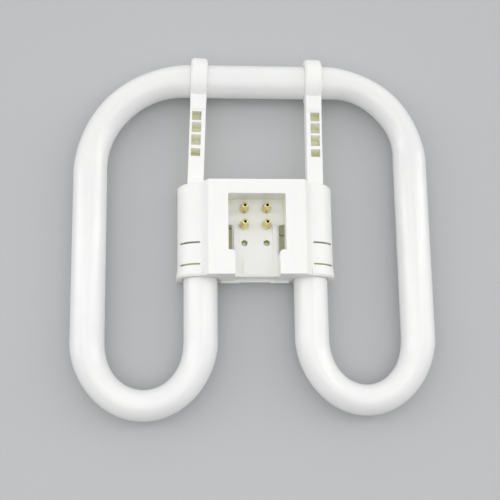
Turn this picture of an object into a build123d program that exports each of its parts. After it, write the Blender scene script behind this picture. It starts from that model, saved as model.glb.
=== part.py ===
from build123d import *
from math import atan2, cos, degrees, radians, sin, sqrt
import os

# A square discharge lamp that lies on its back. +X is right, +Y is up along the lamp,
# and +Z points out of its pins. The origin is under the middle of the lamp, on the surface
# that it lies on. All sizes are in millimetres.

# Glass tube
TUBE_R = 6.5              # outside radius of the glass where it is straight
LAMP_WIDTH = 138.2        # across the outer faces of the two outer legs
TOP_RUN = {"left": 24.8, "right": 30.4}            # straight top, from the lamp's middle
INNER_LEG = {"left": -20.3, "right": 21.8}         # x of the two legs that enter the cap
BEND_DEPTH = 24.0                                  # how far a bend's centreline drops below its legs
LEG_DROP = {"left": 103.0, "right": 101.8}         # from the top run's axis down to the bend
CORNER_THINNING = {"left": 0.42, "right": 0.7}     # the glass is drawn in across its two corners
CORNER_EASE = 0.2         # over this part of the corner at each end
BEND_THINNING = 0.65      # and across its two U bends
BEND_EASE = 0.275
BEND_FLATTENING = 0.1     # and is a trace flatter in all of them
PINCH_WIDTH = 10.0        # the pressed glass seal at each end of the tube
PINCH_THICK = 3.0
PINCH_ROUND = 1.35
PINCH_LENGTH = 4.0
PINCH_TAPER = 5.5         # length over which the round glass is pressed flat
STEM_R = 1.2              # closed exhaust stem between the two leads
STEM_ROUND = 0.85
STEM_LENGTH = 1.6
LEAD_SPREAD = 2.6         # from a seal's middle to each of its leads

# Plastic cap: x from its middle, y up from its lower face, z forward from the axis of the glass
CAP_FOOT_DROP = 79.75     # from the top run's axis down to the cap's lower face
BACK_GAP = 0.3            # air behind the glass
FRONT_RISE = 12.5         # from the axis forward to the cap's front face
PARTING_DEPTH = 4.2       # the front shell ends this far behind the axis
PARTING_GAP = 0.1
WALL = 1.4
WING_GAP = 0.9            # air between the glass and a wing's inner face
FACE_HALF = 18.25         # half of the flat front face
FACET_RUN = 2.45          # width of the slanted facet beside the front face
WING_HEIGHT = 36.1
BLOCK_RISE = 0.35         # the middle block stands this much above the wings
EDGE_R = 0.7
WING_TOP_R = 1.4
BACK_EDGE_R = 1.2
MOUTH_GAP = 0.3           # air round the glass where a leg leaves the cap
FLARE_HEIGHT = 5.0        # the wings spread a little round the mouths
FLARE_OUT = 0.5
FOOT_R = 1.0
RIM_HALF = 13.2           # rim along the lower face, between the legs
RIM_OUT = 0.8
RIM_FRONT = -3.1          # its front face, from the axis
RIM_THICK = 1.6
RIM_NOTCH = 6.0           # half of the shallower length at its middle
RIM_NOTCH_DEPTH = 0.3

# Recess for the lampholder, open at the cap's lower face
RECESS_HALF = 10.85
RECESS_FOOT = 9.15
RECESS_BAND = 5.65        # plastic above the recess
RECESS_DEPTH = 9.6
RECESS_WALL = 1.3
RECESS_CORNER = 0.6
CHANNEL_HALF = 8.4
CHANNEL_CORNER = 1.2
CHANNEL_STEP = 0.55       # the channel's end is set back from the lower face
RAIL_WIDTH = 1.8
RAIL_HEIGHT = 0.7
LATCH_WIDTH = 1.85        # latch opening in the floor beside each side wall
LATCH_LENGTH = 11.5
LATCH_RISE = 3.0          # and up the wall
PAD_HALF = 4.75           # faint raised panel near the open end
PAD_FOOT = 1.2
PAD_LENGTH = 6.6
PAD_HEIGHT = 0.4
PEEP_R = 1.2              # two small round holes below the pins
PEEP_DROP = 10.25         # from the pins' middle down to them
PEEP_BOSS = 1.9
SLIT_HEIGHT = 0.7         # slits across the wings
SLIT_START = 0.7          # from the foot of the facet
SLIT_LENGTH = 7.3
SLIT_ROWS = (4.4, 12.7)

# Contact pins
PIN_SPACING_X = 8.5
PIN_SPACING_Y = 6.4
PIN_DROP = 6.95           # from the recess's upper wall to the pins' middle
PIN_R = 1.17
PIN_BORE_R = 0.55
PIN_LENGTH = 6.0          # from the recess floor to the tip
PIN_NOSE = 0.45
FLANGE_R = 1.8
FLANGE_THICK = 0.9
FLANGE_CONE = 1.1
TAIL_R = 0.95             # shank through the floor
TAIL_LIP_R = 1.35         # and spread over behind it
TAIL_LIP = 0.35
BOSS_R = 2.1
BOSS_HEIGHT = 0.9
SHANK_GAP = 0.05
WIRE_R = 0.25
WIRE_REACH = 2.4          # how far a wire runs up its pin, above the floor

# Support arms, moulded with the front shell
ARM_HALF = {"left": 22.95, "right": 23.35}         # from the cap's middle to an arm at its root
ARM_LEAN = {"left": 2.1, "right": 0.4}             # degrees towards +X at the top
ARM_WIDTH = 6.2
ARM_ROOT = 1.0            # depth of the root in the wing's top wall
ARM_BACK = -0.5           # the arm's back and front faces, from the axis
ARM_FRONT = 5.1
ARM_EDGE_R = 0.5
PAD_RISE = 0.45           # thicker length next to the hook
PAD_DROP = 12.9
PAD_BEVEL = 1.1
HOOK_WALL = 2.45
HOOK_GAP = 0.25
HOOK_WIDTH = 6.6
HOOK_EDGE_R = 1.5
HOOK_END = 52.0           # degrees that the hook runs on behind the tube
POCKET_DROP = (17.8, 22.75, 27.9, 32.4)            # from the axis of the top run to a pocket's foot
POCKET_HEIGHT = (3.6, 2.9, 3.0, 1.9)               # on its floor
POCKET_SLANT = (0.0, 1.3, 1.3, 1.3)                # its upper wall leans this far up to the front
POCKET_WIDTH = 3.6
POCKET_DEPTH = 4.0
POCKET_OUT = 0.4          # the pockets lie this far outward of an arm's middle

# What joins the two shells and holds the glass
TONGUE_X = 8.5
TONGUE_WIDTH = 5.0
TONGUE_THICK = 1.1
TONGUE_TOP = -0.4
TONGUE_GAP = 0.15
BARB = 0.45
BARB_HEIGHT = 1.2
CATCH_GAP = 0.15
SADDLE_GAP = 0.15         # air between the glass and the ribs that cradle it
SADDLE_THICK = 1.2
SADDLE_DROP = 4.2         # from where the glass narrows down to the upper saddle
SADDLE_BACK = -3.0        # the cover's saddles end here, and the shell's ribs begin at SADDLE_FRONT
SADDLE_FRONT = 3.0
SADDLE_SIDE = 0.2         # air beside a saddle
POST_R = 0.85             # post in each small round hole
POST_BELOW_FLOOR = 2.6
JOIN = 0.5                # how far a moulded rib or post reaches into the wall that carries it
CEMENT_LENGTH = 3.6       # ring of silicone round each leg in the cap

# Lead wires, by pin: corners between a seal and its pin, as distances in from the leg's axis,
# above the seal and forward of the axis
SEAL_ROOM = 4.8           # room for the leads above the seals
LEAD_RISE = 2.8
ROUTES = {
    "upper": [(7.0, 2.9, -1.8), (13.0, 0.7, -3.0)],
    "lower": [(1.4, 3.3, -3.8)],
}
SLACK_IN = 9.0            # the lower wires sag to here, in from the leg and up from their pin
SLACK_UP = {"left": 0.35, "right": -2.95}
SLACK_Z = -4.7
RUN_BEHIND_PIN = -3.4
WIRE_BEND_R = 1.3

# Places worked out from the sizes above
SIDES = {"left": -1, "right": 1}
ROWS = {"upper": 1, "lower": -1}
LEG_X = LAMP_WIDTH / 2 - TUBE_R
CORNER_RADIUS = {name: LEG_X - TOP_RUN[name] for name in SIDES}
HOOK_INNER = TUBE_R + HOOK_GAP
HOOK_R = HOOK_INNER + HOOK_WALL
TOP_Y = (max(LEG_DROP.values()) + BEND_DEPTH + TUBE_R - BEND_THINNING - HOOK_R) / 2
CAP_X = (INNER_LEG["left"] + INNER_LEG["right"]) / 2
CAP_Y = TOP_Y - CAP_FOOT_DROP
CAP_LEG = (INNER_LEG["right"] - INNER_LEG["left"]) / 2
BACK_DEPTH = TUBE_R + BACK_GAP + WALL
CAP = Location((CAP_X, CAP_Y, BACK_DEPTH))
BLOCK_HEIGHT = WING_HEIGHT + BLOCK_RISE
WING_R = TUBE_R + WING_GAP + WALL
WING_EDGE = CAP_LEG + WING_R
FACET_FOOT = FACE_HALF + FACET_RUN
FACET_Z = sqrt(WING_R**2 - (CAP_LEG - FACET_FOOT) ** 2)
RECESS_TOP = BLOCK_HEIGHT - RECESS_BAND
PIN_MIDDLE_Y = RECESS_TOP - PIN_DROP
PEEP_Y = PIN_MIDDLE_Y - PEEP_DROP
FLOOR_Z = FRONT_RISE - RECESS_DEPTH
UNDER_FLOOR = FLOOR_Z - RECESS_WALL
COVER_FLOOR = WALL - BACK_DEPTH
MOUTH_R = TUBE_R + MOUTH_GAP
SEAL_END = WING_HEIGHT - WALL - SEAL_ROOM
TAPER_START = SEAL_END - PINCH_LENGTH - PINCH_TAPER
UPPER_SADDLE = TAPER_START - SADDLE_DROP
SADDLE_ROWS = ((WALL + CEMENT_LENGTH + UPPER_SADDLE) / 2, UPPER_SADDLE)
LATCH_TOP = RECESS_FOOT + LATCH_LENGTH
FAR = 60.0                # longer than the cap in every direction
NEAR = 0.01               # within this, two places are the same


def block(x0, x1, y0, y1, z0, z1):
    """A box given by its two ends along each axis."""
    corner = (Align.MIN, Align.MIN, Align.MIN)
    return Pos(x0, y0, z0) * Box(x1 - x0, y1 - y0, z1 - z0, align=corner)


def rod(radius, start, length, axis):
    return extrude(Plane(origin=start, z_dir=axis) * Circle(radius), amount=length)


def up_cap(face, low, high):
    """Extrude a face drawn in x and z from one height of the cap to another."""
    return extrude(Plane.XZ.offset(-high) * face, amount=high - low)


def both_sides(shape):
    return shape + mirror(shape, Plane.YZ)


# The glass

def drawn_glass(path, thinning, ease):
    """Glass along a curve, round at both ends and drawn in across the curve between them."""
    sections = []
    for part_way in (0, ease / 2, ease, 0.5, 1 - ease, 1 - ease / 2, 1):
        share = min(min(part_way, 1 - part_way) / ease, 1)
        drawn = share**2 * (3 - 2 * share)
        across = Plane(origin=path @ part_way, x_dir=(0, 0, 1), z_dir=path % part_way)
        form = Ellipse(TUBE_R - BEND_FLATTENING * drawn, TUBE_R - thinning * drawn)
        sections.append(across * (form if drawn else Circle(TUBE_R)))
    return sweep(sections, path=path, multisection=True)


def bend_glass(name):
    """Half a turn from an outer leg to an inner leg."""
    half = (LEG_X - abs(INNER_LEG[name])) / 2
    middle = Plane(origin=(SIDES[name] * (LEG_X - half), TOP_Y - LEG_DROP[name], 0))
    path = Edge.make_ellipse(half, BEND_DEPTH, middle, start_angle=180, end_angle=360)
    return drawn_glass(path, BEND_THINNING, BEND_EASE)


def corner_glass(name):
    """Quarter of a turn from the top run to an outer leg."""
    side, radius = SIDES[name], CORNER_RADIUS[name]
    path = CenterArc((side * TOP_RUN[name], TOP_Y - radius), radius, 90, -90 * side)
    return drawn_glass(path, CORNER_THINNING[name], CORNER_EASE)


def seal_glass(x):
    """The pressed end of the tube with its exhaust stem."""
    mouth = Plane(origin=(x, CAP_Y + TAPER_START, 0), x_dir=(1, 0, 0), z_dir=(0, 1, 0))
    pressed = mouth.offset(PINCH_TAPER) * RectangleRounded(PINCH_WIDTH, PINCH_THICK, PINCH_ROUND)
    stem = rod(STEM_R, (x, CAP_Y + SEAL_END, 0), STEM_LENGTH, (0, 1, 0))
    stem = fillet(stem.edges().group_by(Axis.Y)[-1], STEM_ROUND)
    return loft([mouth * Circle(TUBE_R), pressed]) + extrude(pressed, amount=PINCH_LENGTH) + stem


def discharge_tube():
    tube = rod(TUBE_R, (-TOP_RUN["left"], TOP_Y, 0), sum(TOP_RUN.values()), (1, 0, 0))
    for name, side in SIDES.items():
        bend_y = TOP_Y - LEG_DROP[name]
        tube += corner_glass(name)
        tube += rod(TUBE_R, (side * LEG_X, bend_y, 0), LEG_DROP[name] - CORNER_RADIUS[name], (0, 1, 0))
        tube += bend_glass(name)
        tube += rod(TUBE_R, (INNER_LEG[name], bend_y, 0), CAP_Y + TAPER_START - bend_y, (0, 1, 0))
        tube += seal_glass(INNER_LEG[name])
    return Pos(0, 0, BACK_DEPTH) * tube


# The cap's outer form, shared by the two shells

def block_half():
    """Right half of the middle block across the cap, from its back to its front face."""
    return Polyline(
        (0, -BACK_DEPTH), (FACET_FOOT, -BACK_DEPTH), (FACET_FOOT, FACET_Z), (FACE_HALF, FRONT_RISE),
        (0, FRONT_RISE), close=True,
    )


def wing_half(grow=0.0):
    """Right wing across the cap: a half round cover over the leg with straight sides to the back."""
    radius = WING_R + grow
    low = -BACK_DEPTH - grow
    inner = FACE_HALF - 2 * WALL
    slant = radians(45)
    arc = ThreePointArc(
        (CAP_LEG + radius, 0), (CAP_LEG + radius * cos(slant), radius * sin(slant)), (CAP_LEG, radius)
    )
    rest = Polyline(
        (CAP_LEG, radius), (inner, radius), (inner, low), (CAP_LEG + radius, low), (CAP_LEG + radius, 0)
    )
    return make_face(arc + rest)


def whole(face):
    return face + mirror(face, Plane.YZ)


def block_section():
    section = whole(make_face(block_half()))
    front = [v for v in section.vertices() if v.Y > FRONT_RISE - NEAR and abs(v.X) > NEAR]
    return fillet(front, EDGE_R)


def wing_section(grow=0.0):
    wing = wing_half(grow)
    corner = [v for v in wing.vertices() if v.Y < -BACK_DEPTH + NEAR and v.X > CAP_LEG]
    return fillet(corner, BACK_EDGE_R)


def flare():
    """The lower end of the right wing, which spreads round the leg's mouth."""
    foot = mirror(wing_section(FLARE_OUT), Plane.YZ)
    lean = degrees(atan2(FLARE_OUT, FLARE_HEIGHT))
    upward = Plane(origin=(0, 0, 0), x_dir=(-1, 0, 0), z_dir=(0, 1, 0))
    spread = extrude(upward * foot, amount=FLARE_HEIGHT, taper=lean)
    spread = fillet(spread.edges().group_by(Axis.Y)[0], FOOT_R)
    return spread & block(FACET_FOOT, FAR, -FAR, FAR, -BACK_DEPTH, FAR)


def foot_rim():
    """A rim across the lower face: flat in front, slanted behind and shallower at its middle."""
    side_on = Plane(origin=(-RIM_HALF, 0, 0), x_dir=(0, 1, 0), z_dir=(1, 0, 0))
    back = RIM_FRONT - RIM_THICK
    outline = Polyline(
        (JOIN, RIM_FRONT), (-RIM_OUT, RIM_FRONT), (-RIM_OUT, back), (0, back - RIM_OUT),
        (JOIN, back - RIM_OUT), close=True,
    )
    rim = extrude(side_on * make_face(outline), amount=2 * RIM_HALF)
    return rim - block(-RIM_NOTCH, RIM_NOTCH, -FAR, RIM_NOTCH_DEPTH - RIM_OUT, -FAR, FAR)


def cap_form():
    middle = up_cap(block_section(), 0, BLOCK_HEIGHT)
    middle = fillet(middle.edges().group_by(Axis.Y)[-1], EDGE_R)
    wing = up_cap(wing_section(), 0, WING_HEIGHT)
    wing = fillet(wing.edges().group_by(Axis.Y)[-1], WING_TOP_R)
    return middle + both_sides(wing + flare()) + foot_rim()


def cap_hollow():
    """What the two shells enclose."""
    middle = up_cap(offset(block_section(), -WALL), WALL, BLOCK_HEIGHT - WALL)
    wing = up_cap(offset(wing_section(), -WALL), WALL, WING_HEIGHT - WALL)
    return middle + both_sides(wing)


def leg_mouths():
    mouth = rod(MOUTH_R, (CAP_LEG, -FLARE_HEIGHT, 0), FLARE_HEIGHT + 2 * WALL, (0, 1, 0))
    return both_sides(mouth)


# The front shell

def recess_outline(grow=0.0):
    """The recess from the front: a wide upper part, and a channel that runs out at the lower face."""
    wide = Pos(0, (RECESS_FOOT + RECESS_TOP) / 2) * Rectangle(
        2 * (RECESS_HALF + grow), RECESS_TOP - RECESS_FOOT + 2 * grow
    )
    channel = Pos(0, RECESS_FOOT / 2) * Rectangle(2 * (CHANNEL_HALF + grow), RECESS_FOOT)
    outline = wide + channel
    if grow > 0:
        return outline
    foot = [v for v in outline.vertices() if abs(v.Y - RECESS_FOOT) < NEAR]
    outline = fillet([v for v in foot if abs(v.X) < CHANNEL_HALF + NEAR], CHANNEL_CORNER)
    top = [v for v in outline.vertices() if v.Y > RECESS_TOP - NEAR]
    return fillet(top, RECESS_CORNER)


def recess_tub():
    """Walls and floor of the recess, before it is hollowed."""
    outline = recess_outline(RECESS_WALL)
    tub = Pos(0, 0, UNDER_FLOOR) * extrude(outline, amount=FRONT_RISE - EDGE_R - UNDER_FLOOR)
    for x, y in pin_places():
        tub += rod(BOSS_R, (x, y, UNDER_FLOOR - BOSS_HEIGHT), BOSS_HEIGHT, (0, 0, 1))
    for x, y in peep_places():
        tub += rod(BOSS_R, (x, y, UNDER_FLOOR - PEEP_BOSS), PEEP_BOSS, (0, 0, 1))
    return tub


def pin_places():
    return [(x, y) for x in (-PIN_SPACING_X / 2, PIN_SPACING_X / 2)
            for y in (PIN_MIDDLE_Y - PIN_SPACING_Y / 2, PIN_MIDDLE_Y + PIN_SPACING_Y / 2)]


def peep_places():
    return [(-PIN_SPACING_X / 2, PEEP_Y), (PIN_SPACING_X / 2, PEEP_Y)]


def recess_cuts():
    cut = Pos(0, 0, FLOOR_Z) * extrude(recess_outline(), amount=FAR)
    cut += block(-CHANNEL_HALF, CHANNEL_HALF, -FAR, RECESS_FOOT / 2, FLOOR_Z, FAR)
    cut += block(-CHANNEL_HALF, CHANNEL_HALF, -FAR, CHANNEL_STEP, RIM_FRONT, FAR)
    outer = RECESS_HALF + RECESS_WALL + JOIN
    latch = block(
        RECESS_HALF - LATCH_WIDTH, outer, RECESS_FOOT, LATCH_TOP, UNDER_FLOOR - JOIN, FLOOR_Z + LATCH_RISE
    )
    cut += both_sides(latch)
    low = UNDER_FLOOR - PEEP_BOSS - JOIN
    for x, y in pin_places():
        cut += rod(TAIL_R + SHANK_GAP, (x, y, low), FLOOR_Z + JOIN - low, (0, 0, 1))
    for x, y in peep_places():
        cut += rod(PEEP_R, (x, y, low), FLOOR_Z + JOIN - low, (0, 0, 1))
    return cut


def floor_details():
    """Two rails along the sides of the channel, and a faint panel between them."""
    rail = block(
        CHANNEL_HALF - RAIL_WIDTH, CHANNEL_HALF, CHANNEL_STEP, LATCH_TOP, FLOOR_Z, FLOOR_Z + RAIL_HEIGHT
    )
    panel = Pos(0, PAD_FOOT + PAD_LENGTH / 2, FLOOR_Z) * extrude(
        RectangleRounded(2 * PAD_HALF, PAD_LENGTH, RECESS_CORNER), amount=PAD_HEIGHT
    )
    return both_sides(rail) + panel


def wing_slits():
    start, half = FACET_FOOT + SLIT_START, SLIT_HEIGHT / 2
    slits = [block(start, start + SLIT_LENGTH, y - half, y + half, SADDLE_FRONT, FAR) for y in SLIT_ROWS]
    return both_sides(Compound(slits))


def shell_ribs():
    """Ribs inside the wings that cradle the legs from the front."""
    ribs = []
    for y in SADDLE_ROWS:
        rib = up_cap(wing_section(), y - SADDLE_THICK / 2, y + SADDLE_THICK / 2)
        rib = rib & block(CAP_LEG - TUBE_R, FAR, 0, FAR, SADDLE_FRONT, FAR)
        ribs.append(rib - rod(TUBE_R + SADDLE_GAP, (CAP_LEG, 0, 0), FAR, (0, 1, 0)))
    return both_sides(Compound(ribs))


def catches(grow=0.0):
    """The snap tongues' barbs, or with some growth the grooves that they catch in."""
    low, high = TONGUE_TOP - BARB_HEIGHT - grow, TONGUE_TOP + grow
    left, right = TONGUE_X - TONGUE_WIDTH / 2 - grow, TONGUE_X + TONGUE_WIDTH / 2 + grow
    upper_face = BLOCK_HEIGHT - WALL - TONGUE_GAP
    lower_face = WALL + TONGUE_GAP
    upper = block(left, right, upper_face, upper_face + BARB + grow, low, high)
    lower = block(left, right, lower_face - BARB - grow, lower_face, low, high)
    return both_sides(upper + lower)


def arm_side(reach):
    """An arm from the side, thicker near its hook: x runs up the arm and y forward."""
    pad_low, pad_front = reach - PAD_DROP, ARM_FRONT + PAD_RISE
    outline = Polyline(
        (-ARM_ROOT, ARM_BACK), (-ARM_ROOT, ARM_FRONT), (pad_low - PAD_BEVEL, ARM_FRONT), (pad_low, pad_front),
        (reach, pad_front), (reach, ARM_BACK), close=True,
    )
    return make_face(outline)


def hook_side(reach):
    """The ring round the top run, open behind and towards the cap."""
    end, out = radians(-HOOK_END), 2 * HOOK_R
    opening = make_face(Polyline(
        (0, 0), (out * cos(end), out * sin(end)), (-out, -out), (-out, ARM_BACK), (0, ARM_BACK), close=True
    ))
    return Pos(reach, 0) * (Circle(HOOK_R) - Circle(HOOK_INNER) - opening)


def pocket_side(foot, height, slant):
    """A pocket in an arm's front face from the side."""
    floor, front = ARM_FRONT - POCKET_DEPTH, ARM_FRONT + JOIN
    return make_face(Polyline(
        (foot, front), (foot, floor), (foot + height, floor), (foot + height + slant, ARM_FRONT),
        (foot + height + slant, front), close=True,
    ))


def support_arm(name):
    lean = ARM_LEAN[name]
    reach = (CAP_FOOT_DROP - WING_HEIGHT) / cos(radians(lean))
    side_on = Plane(origin=(0, 0, 0), x_dir=(0, 1, 0), z_dir=(1, 0, 0))
    beam = extrude(side_on * arm_side(reach), amount=ARM_WIDTH / 2, both=True)
    front = [e for e in beam.edges().filter_by(Plane.YZ) if e.center().Z > ARM_FRONT - NEAR]
    beam = fillet(front, ARM_EDGE_R)
    hook = extrude(side_on * hook_side(reach), amount=HOOK_WIDTH / 2, both=True)
    rim = [e for e in hook.edges().filter_by(GeomType.CIRCLE) if abs(e.radius - HOOK_R) < NEAR]
    arm = beam - rod(HOOK_INNER, (-FAR, reach, 0), 2 * FAR, (1, 0, 0)) + fillet(rim, HOOK_EDGE_R)
    for drop, height, slant in zip(POCKET_DROP, POCKET_HEIGHT, POCKET_SLANT):
        across = side_on * pocket_side(reach - drop, height, slant)
        arm -= Pos(SIDES[name] * POCKET_OUT, 0, 0) * extrude(across, amount=POCKET_WIDTH / 2, both=True)
    return Pos(SIDES[name] * ARM_HALF[name], WING_HEIGHT, 0) * Rot(0, 0, -lean) * arm


def front_shell():
    shell = cap_form() - cap_hollow()
    shell = shell & block(-FAR, FAR, -FAR, FAR, -PARTING_DEPTH, FAR)
    shell += recess_tub()
    shell += shell_ribs()
    shell -= recess_cuts()
    shell += floor_details()
    shell -= leg_mouths()
    shell -= both_sides(block(CAP_LEG - MOUTH_R, CAP_LEG + MOUTH_R, -FAR, 2 * WALL, -FAR, 0))
    shell -= wing_slits()
    shell -= catches(CATCH_GAP)
    for name in SIDES:
        shell += support_arm(name)
    return CAP * shell


# The back cover

def cover_saddles():
    """Ribs that cradle the legs from behind, and the lower edge of each mouth."""
    low = COVER_FLOOR - JOIN
    half = MOUTH_R - SADDLE_SIDE
    ribs = block(CAP_LEG - half, CAP_LEG + half, 0, WALL, low, SADDLE_BACK)
    ribs -= rod(MOUTH_R, (CAP_LEG, -FAR, 0), 2 * FAR, (0, 1, 0))
    half = TUBE_R + WING_GAP - SADDLE_SIDE
    for y in SADDLE_ROWS:
        start = y - SADDLE_THICK / 2
        rib = block(CAP_LEG - half, CAP_LEG + half, start, start + SADDLE_THICK, low, SADDLE_BACK)
        ribs += rib - rod(TUBE_R + SADDLE_GAP, (CAP_LEG, 0, 0), FAR, (0, 1, 0))
    return both_sides(ribs)


def cover_tongues():
    left, right = TONGUE_X - TONGUE_WIDTH / 2, TONGUE_X + TONGUE_WIDTH / 2
    upper_face = BLOCK_HEIGHT - WALL - TONGUE_GAP
    lower_face = WALL + TONGUE_GAP
    low = COVER_FLOOR - JOIN
    upper = block(left, right, upper_face - TONGUE_THICK, upper_face, low, TONGUE_TOP)
    lower = block(left, right, lower_face, lower_face + TONGUE_THICK, low, TONGUE_TOP)
    return both_sides(upper + lower) + catches()


def back_cover():
    cover = cap_form() - cap_hollow()
    cover = cover & block(-FAR, FAR, -FAR, FAR, -FAR, -PARTING_DEPTH - PARTING_GAP)
    cover -= leg_mouths()
    cover += cover_saddles()
    cover += cover_tongues()
    low = COVER_FLOOR - JOIN
    for x, y in peep_places():
        cover += rod(POST_R, (x, y, low), FLOOR_Z - POST_BELOW_FLOOR - low, (0, 0, 1))
    return CAP * cover


# Pins, wires and cement

def contact_pin(x, y):
    """A hollow turned pin: nose, barrel, flange on the floor, shank and the lip that is spread behind it."""
    tail = -RECESS_WALL - BOSS_HEIGHT
    lip = tail - TAIL_LIP
    barrel = FLANGE_THICK + FLANGE_CONE
    outline = Polyline(
        (PIN_BORE_R, lip), (TAIL_LIP_R, lip), (TAIL_LIP_R, tail), (TAIL_R, tail), (TAIL_R, 0), (FLANGE_R, 0),
        (FLANGE_R, FLANGE_THICK), (PIN_R, barrel), (PIN_R, PIN_LENGTH), (PIN_BORE_R, PIN_LENGTH), close=True,
    )
    half = make_face(Plane.XZ * outline)
    outer = [v for v in half.vertices() if v.X > PIN_R - NEAR]
    nose = [v for v in outer if v.Z > PIN_LENGTH - NEAR]
    brim = [v for v in outer if abs(v.Z - FLANGE_THICK) < NEAR]
    half = fillet(nose + brim, PIN_NOSE)
    return CAP * Pos(x, y, FLOOR_Z) * revolve(half, Axis.Z)


def lead_wire(name, row):
    """A bare wire from the seal, over the end of the glass and up into its pin."""
    start_x = CAP_LEG - ROWS[row] * LEAD_SPREAD
    pin_x, pin_y = PIN_SPACING_X / 2, PIN_MIDDLE_Y + ROWS[row] * PIN_SPACING_Y / 2
    corners = [(start_x, SEAL_END, 0), (start_x, SEAL_END + LEAD_RISE, 0)]
    corners += [(CAP_LEG - inward, SEAL_END + up, z) for inward, up, z in ROUTES[row]]
    if row == "lower":
        corners.append((CAP_LEG - SLACK_IN, pin_y + SLACK_UP[name], SLACK_Z))
    corners += [(pin_x, pin_y, RUN_BEHIND_PIN), (pin_x, pin_y, FLOOR_Z + WIRE_REACH)]
    points = [(SIDES[name] * x, y, z) for x, y, z in corners]
    path = FilletPolyline(*points, radius=WIRE_BEND_R)
    start = Plane(origin=path @ 0, z_dir=path % 0)
    return CAP * sweep(start * Circle(WIRE_R), path=path)


def cement_ring(name):
    x = SIDES[name] * CAP_LEG
    ring = rod(TUBE_R + WING_GAP, (x, WALL, 0), CEMENT_LENGTH, (0, 1, 0))
    ring -= rod(TUBE_R, (x, 0, 0), FAR, (0, 1, 0))
    return CAP * (ring & block(-FAR, FAR, 0, FAR, COVER_FLOOR, FAR))


def save(shape, name):
    export_step(shape, f"parts/{name}.step")


def main():
    os.makedirs("parts", exist_ok=True)
    save(discharge_tube(), "discharge_tube")
    save(front_shell(), "cap_front_shell")
    save(back_cover(), "cap_back_cover")
    for name, side in SIDES.items():
        for row, sign in ROWS.items():
            x, y = side * PIN_SPACING_X / 2, PIN_MIDDLE_Y + sign * PIN_SPACING_Y / 2
            save(contact_pin(x, y), f"contact_pin_{row}_{name}")
            save(lead_wire(name, row), f"lead_wire_{row}_{name}")
        save(cement_ring(name), f"tube_cement_{name}")


main()
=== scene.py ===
from math import cos, radians, sin

import bpy
from mathutils import Matrix, Vector


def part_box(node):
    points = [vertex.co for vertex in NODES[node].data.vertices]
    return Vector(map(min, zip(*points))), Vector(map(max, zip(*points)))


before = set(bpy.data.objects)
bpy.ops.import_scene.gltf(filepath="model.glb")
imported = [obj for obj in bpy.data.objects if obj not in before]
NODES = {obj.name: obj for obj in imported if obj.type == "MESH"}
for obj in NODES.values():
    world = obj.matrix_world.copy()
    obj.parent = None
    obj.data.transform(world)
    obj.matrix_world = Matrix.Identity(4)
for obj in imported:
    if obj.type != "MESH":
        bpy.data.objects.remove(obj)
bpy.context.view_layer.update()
MM = 0.001

# Colours. A pair holds the darker and the lighter end of a surface's faint cloudiness.
GLASS = (0.84, 0.845, 0.84), (0.885, 0.89, 0.88)
PLASTIC = (0.905, 0.905, 0.885), (0.925, 0.925, 0.91)
# Painted shade: the plastic's colour deep in narrow pockets, a darker cream
PAINTED_POCKET_SHADE = (0.86, 0.86, 0.62)
# The colour of the painted glow in the cap's closed hollow
PAINTED_GLOW_COLOUR = (0.80, 0.82, 0.44)
BRASS = (0.74, 0.64, 0.29), (0.86, 0.78, 0.42)
# Painted shade: the colour inside the pins' bores
PAINTED_BORE_SHADE = (0.02, 0.015, 0.01)
BARE_METAL = (0.5, 0.49, 0.46), (0.68, 0.67, 0.64)
SILICONE = (0.62, 0.61, 0.57), (0.74, 0.73, 0.69)
FLOOR = (0.52, 0.53, 0.54)
SKY = (0.96, 0.96, 0.955)
WHITE = (1, 1, 1)

# Lowest and highest roughness
GLASS_ROUGHNESS = 0.34, 0.46
PLASTIC_ROUGHNESS = 0.36, 0.46
BRASS_ROUGHNESS = 0.14, 0.26
WIRE_ROUGHNESS = 0.25, 0.4

# The stretch of a noise's values that cloudiness runs over
CLOUD_SPAN = 0.3, 0.7

# How far a surface looks round for shelter, and the stretch of the answer that its effect runs over:
# painted shade in pockets and bores, painted glow in the hollow
POCKET_REACH, POCKET_SPAN = 4 * MM, (0.05, 0.65)
BORE_REACH, BORE_SPAN = 4 * MM, (0.34, 0.5)
HOLLOW_REACH, HOLLOW_SPAN = 40 * MM, (0, 0.15)
SHELTER_RAYS = 8

# A painted glow stands in for daylight seeping through the cap's thin walls into the closed hollow behind
# the recess: the plastic there emits light. It stays under the recess floor, clear of the cap's foot and
# to the sides of the two round holes.
PAINTED_GLOW_STRENGTH = 0.17
PAINTED_GLOW_TOP = 7.6 * MM
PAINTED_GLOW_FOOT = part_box("cap_front_shell")[0][1] + 2.5 * MM
PAINTED_GLOW_SIDE = 6.3 * MM
PAINTED_GLOW_FADE = 0.4 * MM
PAINTED_GLOW_FOOT_FADE = 0.5 * MM

FLOOR_SIZE = 6

# The camera, fitted to the outline of the glass in the photo. The roll is in degrees.
LENS = 68.09
SENSOR = 36
CAMERA_PLACE = Vector((-28.17, -79.98, 363.17)) * MM
CAMERA_TARGET = Vector((-1.248, -6.459, 8.2)) * MM
CAMERA_ROLL = -0.853

# Each lamp's place, what it faces, its width and height, and its power in watts
LAMPS = {
    "overhead": ((-0.03, -0.09, 0.4), (0, -0.01, 0), (0.45, 0.4), 0.42),
    "right strip": ((0.62, 0.2, 0.55), (0, 0, 0), (0.16, 1.0), 1.0),
    "left strip": ((-0.62, 0.15, 0.5), (0, 0, 0), (0.16, 1.0), 0.7),
    "left panel": ((-1.6, 0.1, 0.44), (0, 0, 0), (0.7, 2.0), 4.4),
    "right panel": ((1.6, 0.1, 0.44), (0, 0, 0), (0.7, 2.0), 4.0),
}

# The sky's strength towards -Y and towards +Y
SKY_STRENGTH = 0.38, 0.95


# Node helpers

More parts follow.
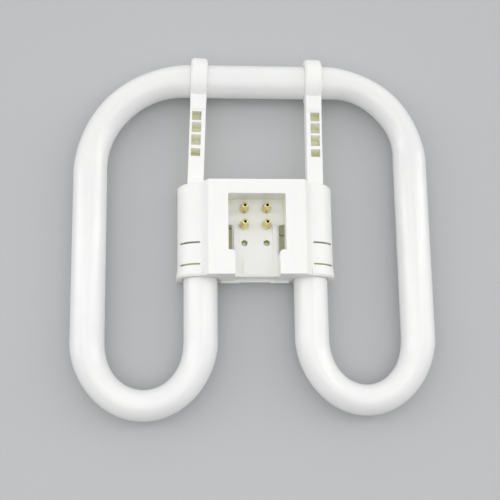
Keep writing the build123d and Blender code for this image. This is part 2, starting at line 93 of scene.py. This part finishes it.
def fill(tree, made, **inputs):
    """Sets each input to a value, or links it to another node's output."""
    for name, value in inputs.items():
        socket = made.inputs[name.replace("_", " ")]
        if isinstance(value, bpy.types.NodeSocket):
            tree.links.new(value, socket)
        else:
            socket.default_value = value


def node(tree, kind, **inputs):
    made = tree.nodes.new(kind)
    fill(tree, made, **inputs)
    return made


def noise(tree, scale, detail, roughness):
    place = tree.nodes.new("ShaderNodeTexCoord").outputs["Object"]
    made = node(tree, "ShaderNodeTexNoise", Vector=place, Scale=scale, Detail=detail, Roughness=roughness)
    return made.outputs["Fac"]


def ramp(tree, value, span, colours):
    """The first colour below the span, the second above it, and a blend of both inside."""
    made = node(tree, "ShaderNodeValToRGB", Fac=value)
    for mark, place, colour in zip(made.color_ramp.elements, span, colours):
        mark.position = place
        mark.color = (*colour, 1)
    return made.outputs["Color"]


def rescaled(tree, value, span=(0, 1), result=(0, 1)):
    """Runs from the first result to the second while the value runs through the span."""
    made = node(tree, "ShaderNodeMapRange", Value=value)
    fill(tree, made, From_Min=span[0], From_Max=span[1], To_Min=result[0], To_Max=result[1])
    return made.outputs["Result"]


def calculated(tree, operation, *values):
    made = tree.nodes.new("ShaderNodeMath")
    made.operation = operation
    for value, socket in zip(values, made.inputs):
        tree.links.new(value, socket)
    return made.outputs["Value"]


def mixed(tree, blend, **inputs):
    made = tree.nodes.new("ShaderNodeMix")
    made.data_type = "RGBA"
    made.blend_type = blend
    fill(tree, made, **inputs)
    return made.outputs["Result"]


def bump(tree, height, distance, strength=1.0):
    made = node(tree, "ShaderNodeBump", Height=height, Distance=distance, Strength=strength)
    return made.outputs["Normal"]


def shelter(tree, reach):
    """From 0 in a deep pocket to 1 on an open face."""
    made = node(tree, "ShaderNodeAmbientOcclusion", Distance=reach)
    made.samples = SHELTER_RAYS
    return made.outputs["AO"]


def new_material(name):
    material = bpy.data.materials.new(name)
    material.use_nodes = True
    tree = material.node_tree
    return material, tree, tree.nodes["Principled BSDF"]


# Materials

def glass_material():
    """Milky glass, a clear wall over a white phosphor coat."""
    material, tree, shader = new_material("coated_glass")
    mottle = noise(tree, scale=46, detail=4, roughness=0.6)
    fine = noise(tree, scale=260, detail=3, roughness=0.6)
    waves = noise(tree, scale=95, detail=2, roughness=0.5)
    fill(
        tree,
        shader,
        Base_Color=ramp(tree, mottle, CLOUD_SPAN, GLASS),
        Roughness=rescaled(tree, fine, result=GLASS_ROUGHNESS),
        IOR=1.5,
        Coat_Weight=0.8,
        Coat_Roughness=0.12,
        Coat_Normal=bump(tree, waves, 0.06 * MM),
    )
    return material


def painted_glow_strength(tree):
    """The strength of the painted glow in the cap's closed hollow, which is 0 everywhere else."""
    place = tree.nodes.new("ShaderNodeNewGeometry").outputs["Position"]
    x, y, z = node(tree, "ShaderNodeSeparateXYZ", Vector=place).outputs
    aside = calculated(tree, "ABSOLUTE", x)
    strength = rescaled(tree, shelter(tree, HOLLOW_REACH), HOLLOW_SPAN, (PAINTED_GLOW_STRENGTH, 0))
    for share in (
        rescaled(tree, z, (PAINTED_GLOW_TOP, PAINTED_GLOW_TOP + PAINTED_GLOW_FADE), (1, 0)),
        rescaled(tree, y, (PAINTED_GLOW_FOOT, PAINTED_GLOW_FOOT + PAINTED_GLOW_FOOT_FADE)),
        rescaled(tree, aside, (PAINTED_GLOW_SIDE, PAINTED_GLOW_SIDE + PAINTED_GLOW_FADE)),
    ):
        strength = calculated(tree, "MULTIPLY", strength, share)
    return strength


def plastic_material():
    """White moulded plastic, a little translucent, with painted shade, a darker cream, in its narrow
    pockets and a painted glow in the cap's closed hollow.
    """
    material, tree, shader = new_material("white_plastic")
    flow = noise(tree, scale=60, detail=3, roughness=0.55)
    grain = noise(tree, scale=2600, detail=2, roughness=0.5)
    openness = rescaled(tree, shelter(tree, POCKET_REACH), POCKET_SPAN)
    skin = ramp(tree, flow, CLOUD_SPAN, PLASTIC)
    fill(
        tree,
        shader,
        # Painted shade: towards the inside of narrow pockets the colour turns to a darker cream
        Base_Color=mixed(tree, "MIX", Factor=openness, A=(*PAINTED_POCKET_SHADE, 1), B=skin),
        Roughness=rescaled(tree, flow, result=PLASTIC_ROUGHNESS),
        IOR=1.49,
        Normal=bump(tree, grain, 0.02 * MM, strength=0.5),
        Subsurface_Weight=0.3,
        Subsurface_Radius=(1, 1, 0.7),
        Subsurface_Scale=1 * MM,
        # Painted glow: the plastic emits light in the cap's closed hollow
        Emission_Color=(*PAINTED_GLOW_COLOUR, 1),
        Emission_Strength=painted_glow_strength(tree),
    )
    return material


def brass_material():
    """Bright turned brass, with painted shade, nearly black, inside the bores."""
    material, tree, shader = new_material("pin_brass")
    stain = noise(tree, scale=700, detail=3, roughness=0.6)
    clean = ramp(tree, stain, CLOUD_SPAN, BRASS)
    # Painted shade: base colour and reflection tint go nearly black inside the bores and other deeply
    # sheltered spots
    shade = ramp(tree, shelter(tree, BORE_REACH), BORE_SPAN, (PAINTED_BORE_SHADE, WHITE))
    fill(
        tree,
        shader,
        Base_Color=mixed(tree, "MULTIPLY", Factor=1, A=clean, B=shade),
        Specular_Tint=shade,
        Metallic=1,
        Roughness=rescaled(tree, stain, result=BRASS_ROUGHNESS),
    )
    return material


def wire_material():
    material, tree, shader = new_material("bare_wire")
    stain = noise(tree, scale=900, detail=3, roughness=0.6)
    fill(
        tree,
        shader,
        Base_Color=ramp(tree, stain, CLOUD_SPAN, BARE_METAL),
        Metallic=1,
        Roughness=rescaled(tree, stain, result=WIRE_ROUGHNESS),
    )
    return material


def cement_material():
    material, tree, shader = new_material("silicone")
    flow = noise(tree, scale=240, detail=3, roughness=0.6)
    fill(
        tree,
        shader,
        Base_Color=ramp(tree, flow, CLOUD_SPAN, SILICONE),
        Roughness=0.55,
        Normal=bump(tree, flow, 0.2 * MM, strength=0.5),
    )
    return material


def floor_material():
    material, tree, shader = new_material("pale_floor")
    fill(tree, shader, Base_Color=(*FLOOR, 1), Roughness=0.8, Specular_IOR_Level=0.2)
    return material


# What each piece is made of, by how its name starts

MATERIALS = {
    "discharge_tube": glass_material(),
    "cap_": plastic_material(),
    "contact_pin_": brass_material(),
    "lead_wire_": wire_material(),
    "tube_cement_": cement_material(),
}

for start, material in MATERIALS.items():
    for piece_name, piece in NODES.items():
        if piece_name.startswith(start):
            piece.data.materials.clear()
            piece.data.materials.append(material)


# Floor

bpy.ops.mesh.primitive_plane_add(size=FLOOR_SIZE)
floor = bpy.context.object
floor.name = "floor"
floor.data.materials.append(floor_material())


# Camera

def aimed(place, target, roll):
    """The matrix of a camera that looks at the target, with its top towards +Y but for the roll."""
    back = (place - target).normalized()
    right = (-back).cross(Vector((0, 1, 0))).normalized()
    up = right.cross(-back)
    turn = radians(roll)
    across = right * cos(turn) + up * sin(turn)
    upward = -right * sin(turn) + up * cos(turn)
    basis = Matrix((across, upward, back)).transposed().to_4x4()
    return Matrix.Translation(place) @ basis


camera_data = bpy.data.cameras.new("camera")
camera_data.lens = LENS
camera_data.sensor_width = SENSOR
camera_data.sensor_height = SENSOR
camera_data.sensor_fit = "HORIZONTAL"
camera_data.clip_start = 10 * MM
camera = bpy.data.objects.new("camera", camera_data)
bpy.context.scene.collection.objects.link(camera)
camera.matrix_world = aimed(CAMERA_PLACE, CAMERA_TARGET, CAMERA_ROLL)
bpy.context.scene.camera = camera


# Light

def softbox(name, place, target, size, power):
    data = bpy.data.lights.new(name, "AREA")
    data.shape = "RECTANGLE"
    data.size, data.size_y = size
    data.energy = power
    lamp = bpy.data.objects.new(name, data)
    bpy.context.scene.collection.objects.link(lamp)
    lamp.location = place
    lamp.rotation_euler = (Vector(target) - Vector(place)).to_track_quat("-Z", "Y").to_euler()


def studio_world():
    world = bpy.data.worlds.new("studio")
    world.use_nodes = True
    tree = world.node_tree
    direction = tree.nodes.new("ShaderNodeTexCoord").outputs["Generated"]
    y = node(tree, "ShaderNodeSeparateXYZ", Vector=direction).outputs["Y"]
    strength = rescaled(tree, y, (-1, 1), SKY_STRENGTH)
    fill(tree, tree.nodes["Background"], Color=(*SKY, 1), Strength=strength)
    return world


for lamp_name, settings in LAMPS.items():
    softbox(lamp_name, *settings)

bpy.context.scene.world = studio_world()
bpy.context.scene.view_settings.view_transform = "Standard"
